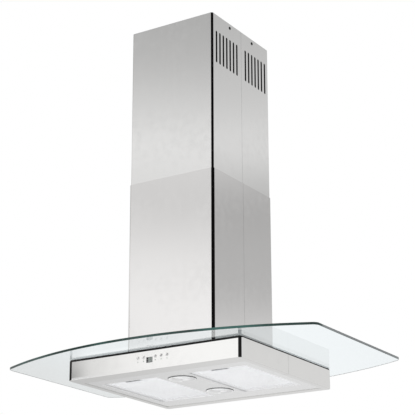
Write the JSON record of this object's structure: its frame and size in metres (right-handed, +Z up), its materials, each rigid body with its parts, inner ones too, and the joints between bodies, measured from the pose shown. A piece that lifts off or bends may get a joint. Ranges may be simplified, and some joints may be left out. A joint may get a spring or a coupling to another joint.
{
  "type": "island range hood",
  "caption": "Ceiling-hung island hood: flat glass canopy with bowed edges, steel filter case below it and a square telescopic chimney above.",
  "frame": {"origin": "centre of the ceiling plate's upper face, in the middle of its four bolt holes", "axes": "+Z up into the ceiling, -Y towards the control panel, +X to the right of someone who faces the controls"},
  "size_m": [0.9, 0.6498, 0.95],
  "materials": {
    "stainless": "fine vertical brush, satin",
    "galvanised_steel": "dull zinc coat",
    "zinc_fastener": "dark zinc plate",
    "clear_glass": "polished, green at the edges",
    "black_rubber": "matt",
    "filter_aluminium": "satin anodised",
    "filter_mesh": "woven, bright",
    "latch_plastic": "smooth grey",
    "lamp_chrome": "polished",
    "frosted_glass": "frosted",
    "lamp_cup": "pressed, plain",
    "bulb_glass": "clear",
    "black_plastic": "fine grain",
    "impeller_plastic": "smooth",
    "shaft_steel": "ground",
    "motor_paint": "satin paint",
    "board_green": "solder mask",
    "display_black": "smoked, polished",
    "key_grey": "satin"
  },
  "bodies": {
    "ceiling_frame": {"ceiling_plate": "galvanised_steel", "ceiling_nuts": "zinc_fastener", "upper_rail_front_left": "galvanised_steel", "upper_rail_front_right": "galvanised_steel", "upper_rail_rear_left": "galvanised_steel", "upper_rail_rear_right": "galvanised_steel", "upper_frame_brace": "galvanised_steel", "upper_chimney_front": "stainless", "upper_chimney_rear": "stainless", "upper_chimney_screws": "zinc_fastener"},
    "hood": {"lower_rail_front_left": "galvanised_steel", "lower_rail_front_right": "galvanised_steel", "lower_rail_rear_left": "galvanised_steel", "lower_rail_rear_right": "galvanised_steel", "lower_frame_brace": "galvanised_steel", "frame_bolts": "zinc_fastener", "motor_box": "galvanised_steel", "motor_box_lid": "galvanised_steel", "outlet_collar": "black_plastic", "scroll_housing_left": "black_plastic", "scroll_housing_right": "black_plastic", "motor": "motor_paint", "motor_bracket": "motor_paint", "terminal_box": "black_plastic", "cable_gland": "black_plastic", "canopy_front_shell": "stainless", "canopy_rear_shell": "stainless", "canopy_top_plate": "stainless", "underside_panel": "stainless", "lamp_ring_front": "lamp_chrome", "lamp_ring_rear": "lamp_chrome", "lamp_lens_front": "frosted_glass", "lamp_lens_rear": "frosted_glass", "lamp_housing_front": "lamp_cup", "lamp_housing_rear": "lamp_cup", "lamp_bulbs": "bulb_glass", "glass_canopy": "clear_glass", "glass_gaskets": "black_rubber", "glass_clamp_ring": "galvanised_steel", "control_housing": "black_plastic", "control_board": "board_green", "display_window": "display_black"},
    "lower_chimney": {"lower_chimney_front": "stainless", "lower_chimney_rear": "stainless", "lower_chimney_base": "galvanised_steel"},
    "impeller": {"impeller": "impeller_plastic", "motor_shaft": "shaft_steel"},
    "filter_left": {"filter_frame_left": "filter_aluminium", "filter_mesh_left": "filter_mesh"},
    "latch_left": {"latch_slider_left": "latch_plastic"},
    "damper_left": {"damper_flap_left": "black_plastic"},
    "filter_right": {"filter_frame_right": "filter_aluminium", "filter_mesh_right": "filter_mesh"},
    "latch_right": {"latch_slider_right": "latch_plastic"},
    "damper_right": {"damper_flap_right": "black_plastic"},
    "key_minus": {"key_minus": "key_grey"},
    "key_plus": {"key_plus": "key_grey"},
    "key_light": {"key_light": "key_grey"},
    "key_timer": {"key_timer": "key_grey"},
    "key_power": {"key_power": "key_grey"}
  },
  "joints": [
    {"name": "height_adjust", "type": "slide", "parent": "ceiling_frame", "child": "hood", "axis": [0, 0, 1], "range_m": [-0.08, 0.12]},
    {"name": "lower_chimney_lift", "type": "slide", "parent": "hood", "child": "lower_chimney", "axis": [0, 0, 1], "range_m": [0, 0.195]},
    {"name": "impeller_spin", "type": "hinge", "parent": "hood", "child": "impeller", "pos_m": [0, -0.034, -0.7932], "axis": [1, 0, 0], "continuous": true},
    {"name": "filter_tilt_left", "type": "hinge", "parent": "hood", "child": "filter_left", "pos_m": [-0.128, 0.1342, -0.9458], "axis": [1, 0, 0], "range_deg": [0, 75]},
    {"name": "latch_slide_left", "type": "slide", "parent": "filter_left", "child": "latch_left", "axis": [0, 1, 0], "range_m": [0, 0.005], "stiffness_N_per_m": 400, "springref_m": -0.002},
    {"name": "damper_left_open", "type": "hinge", "parent": "hood", "child": "damper_left", "pos_m": [-0.004, 0, -0.615], "axis": [0, 1, 0], "range_deg": [0, 80]},
    {"name": "filter_tilt_right", "type": "hinge", "parent": "hood", "child": "filter_right", "pos_m": [0.128, 0.1342, -0.9458], "axis": [1, 0, 0], "range_deg": [0, 75]},
    {"name": "latch_slide_right", "type": "slide", "parent": "filter_right", "child": "latch_right", "axis": [0, 1, 0], "range_m": [0, 0.005], "stiffness_N_per_m": 400, "springref_m": -0.002},
    {"name": "damper_right_open", "type": "hinge", "parent": "hood", "child": "damper_right", "pos_m": [0.004, 0, -0.615], "axis": [0, -1, 0], "range_deg": [0, 80]},
    {"name": "key_minus_press", "type": "slide", "parent": "hood", "child": "key_minus", "axis": [0, 1, 0], "range_m": [0, 0.0012], "stiffness_N_per_m": 1200, "springref_m": -0.0006},
    {"name": "key_plus_press", "type": "slide", "parent": "hood", "child": "key_plus", "axis": [0, 1, 0], "range_m": [0, 0.0012], "stiffness_N_per_m": 1200, "springref_m": -0.0006},
    {"name": "key_light_press", "type": "slide", "parent": "hood", "child": "key_light", "axis": [0, 1, 0], "range_m": [0, 0.0012], "stiffness_N_per_m": 1200, "springref_m": -0.0006},
    {"name": "key_timer_press", "type": "slide", "parent": "hood", "child": "key_timer", "axis": [0, 1, 0], "range_m": [0, 0.0012], "stiffness_N_per_m": 1200, "springref_m": -0.0006},
    {"name": "key_power_press", "type": "slide", "parent": "hood", "child": "key_power", "axis": [0, 1, 0], "range_m": [0, 0.0012], "stiffness_N_per_m": 1200, "springref_m": -0.0006}
  ]
}
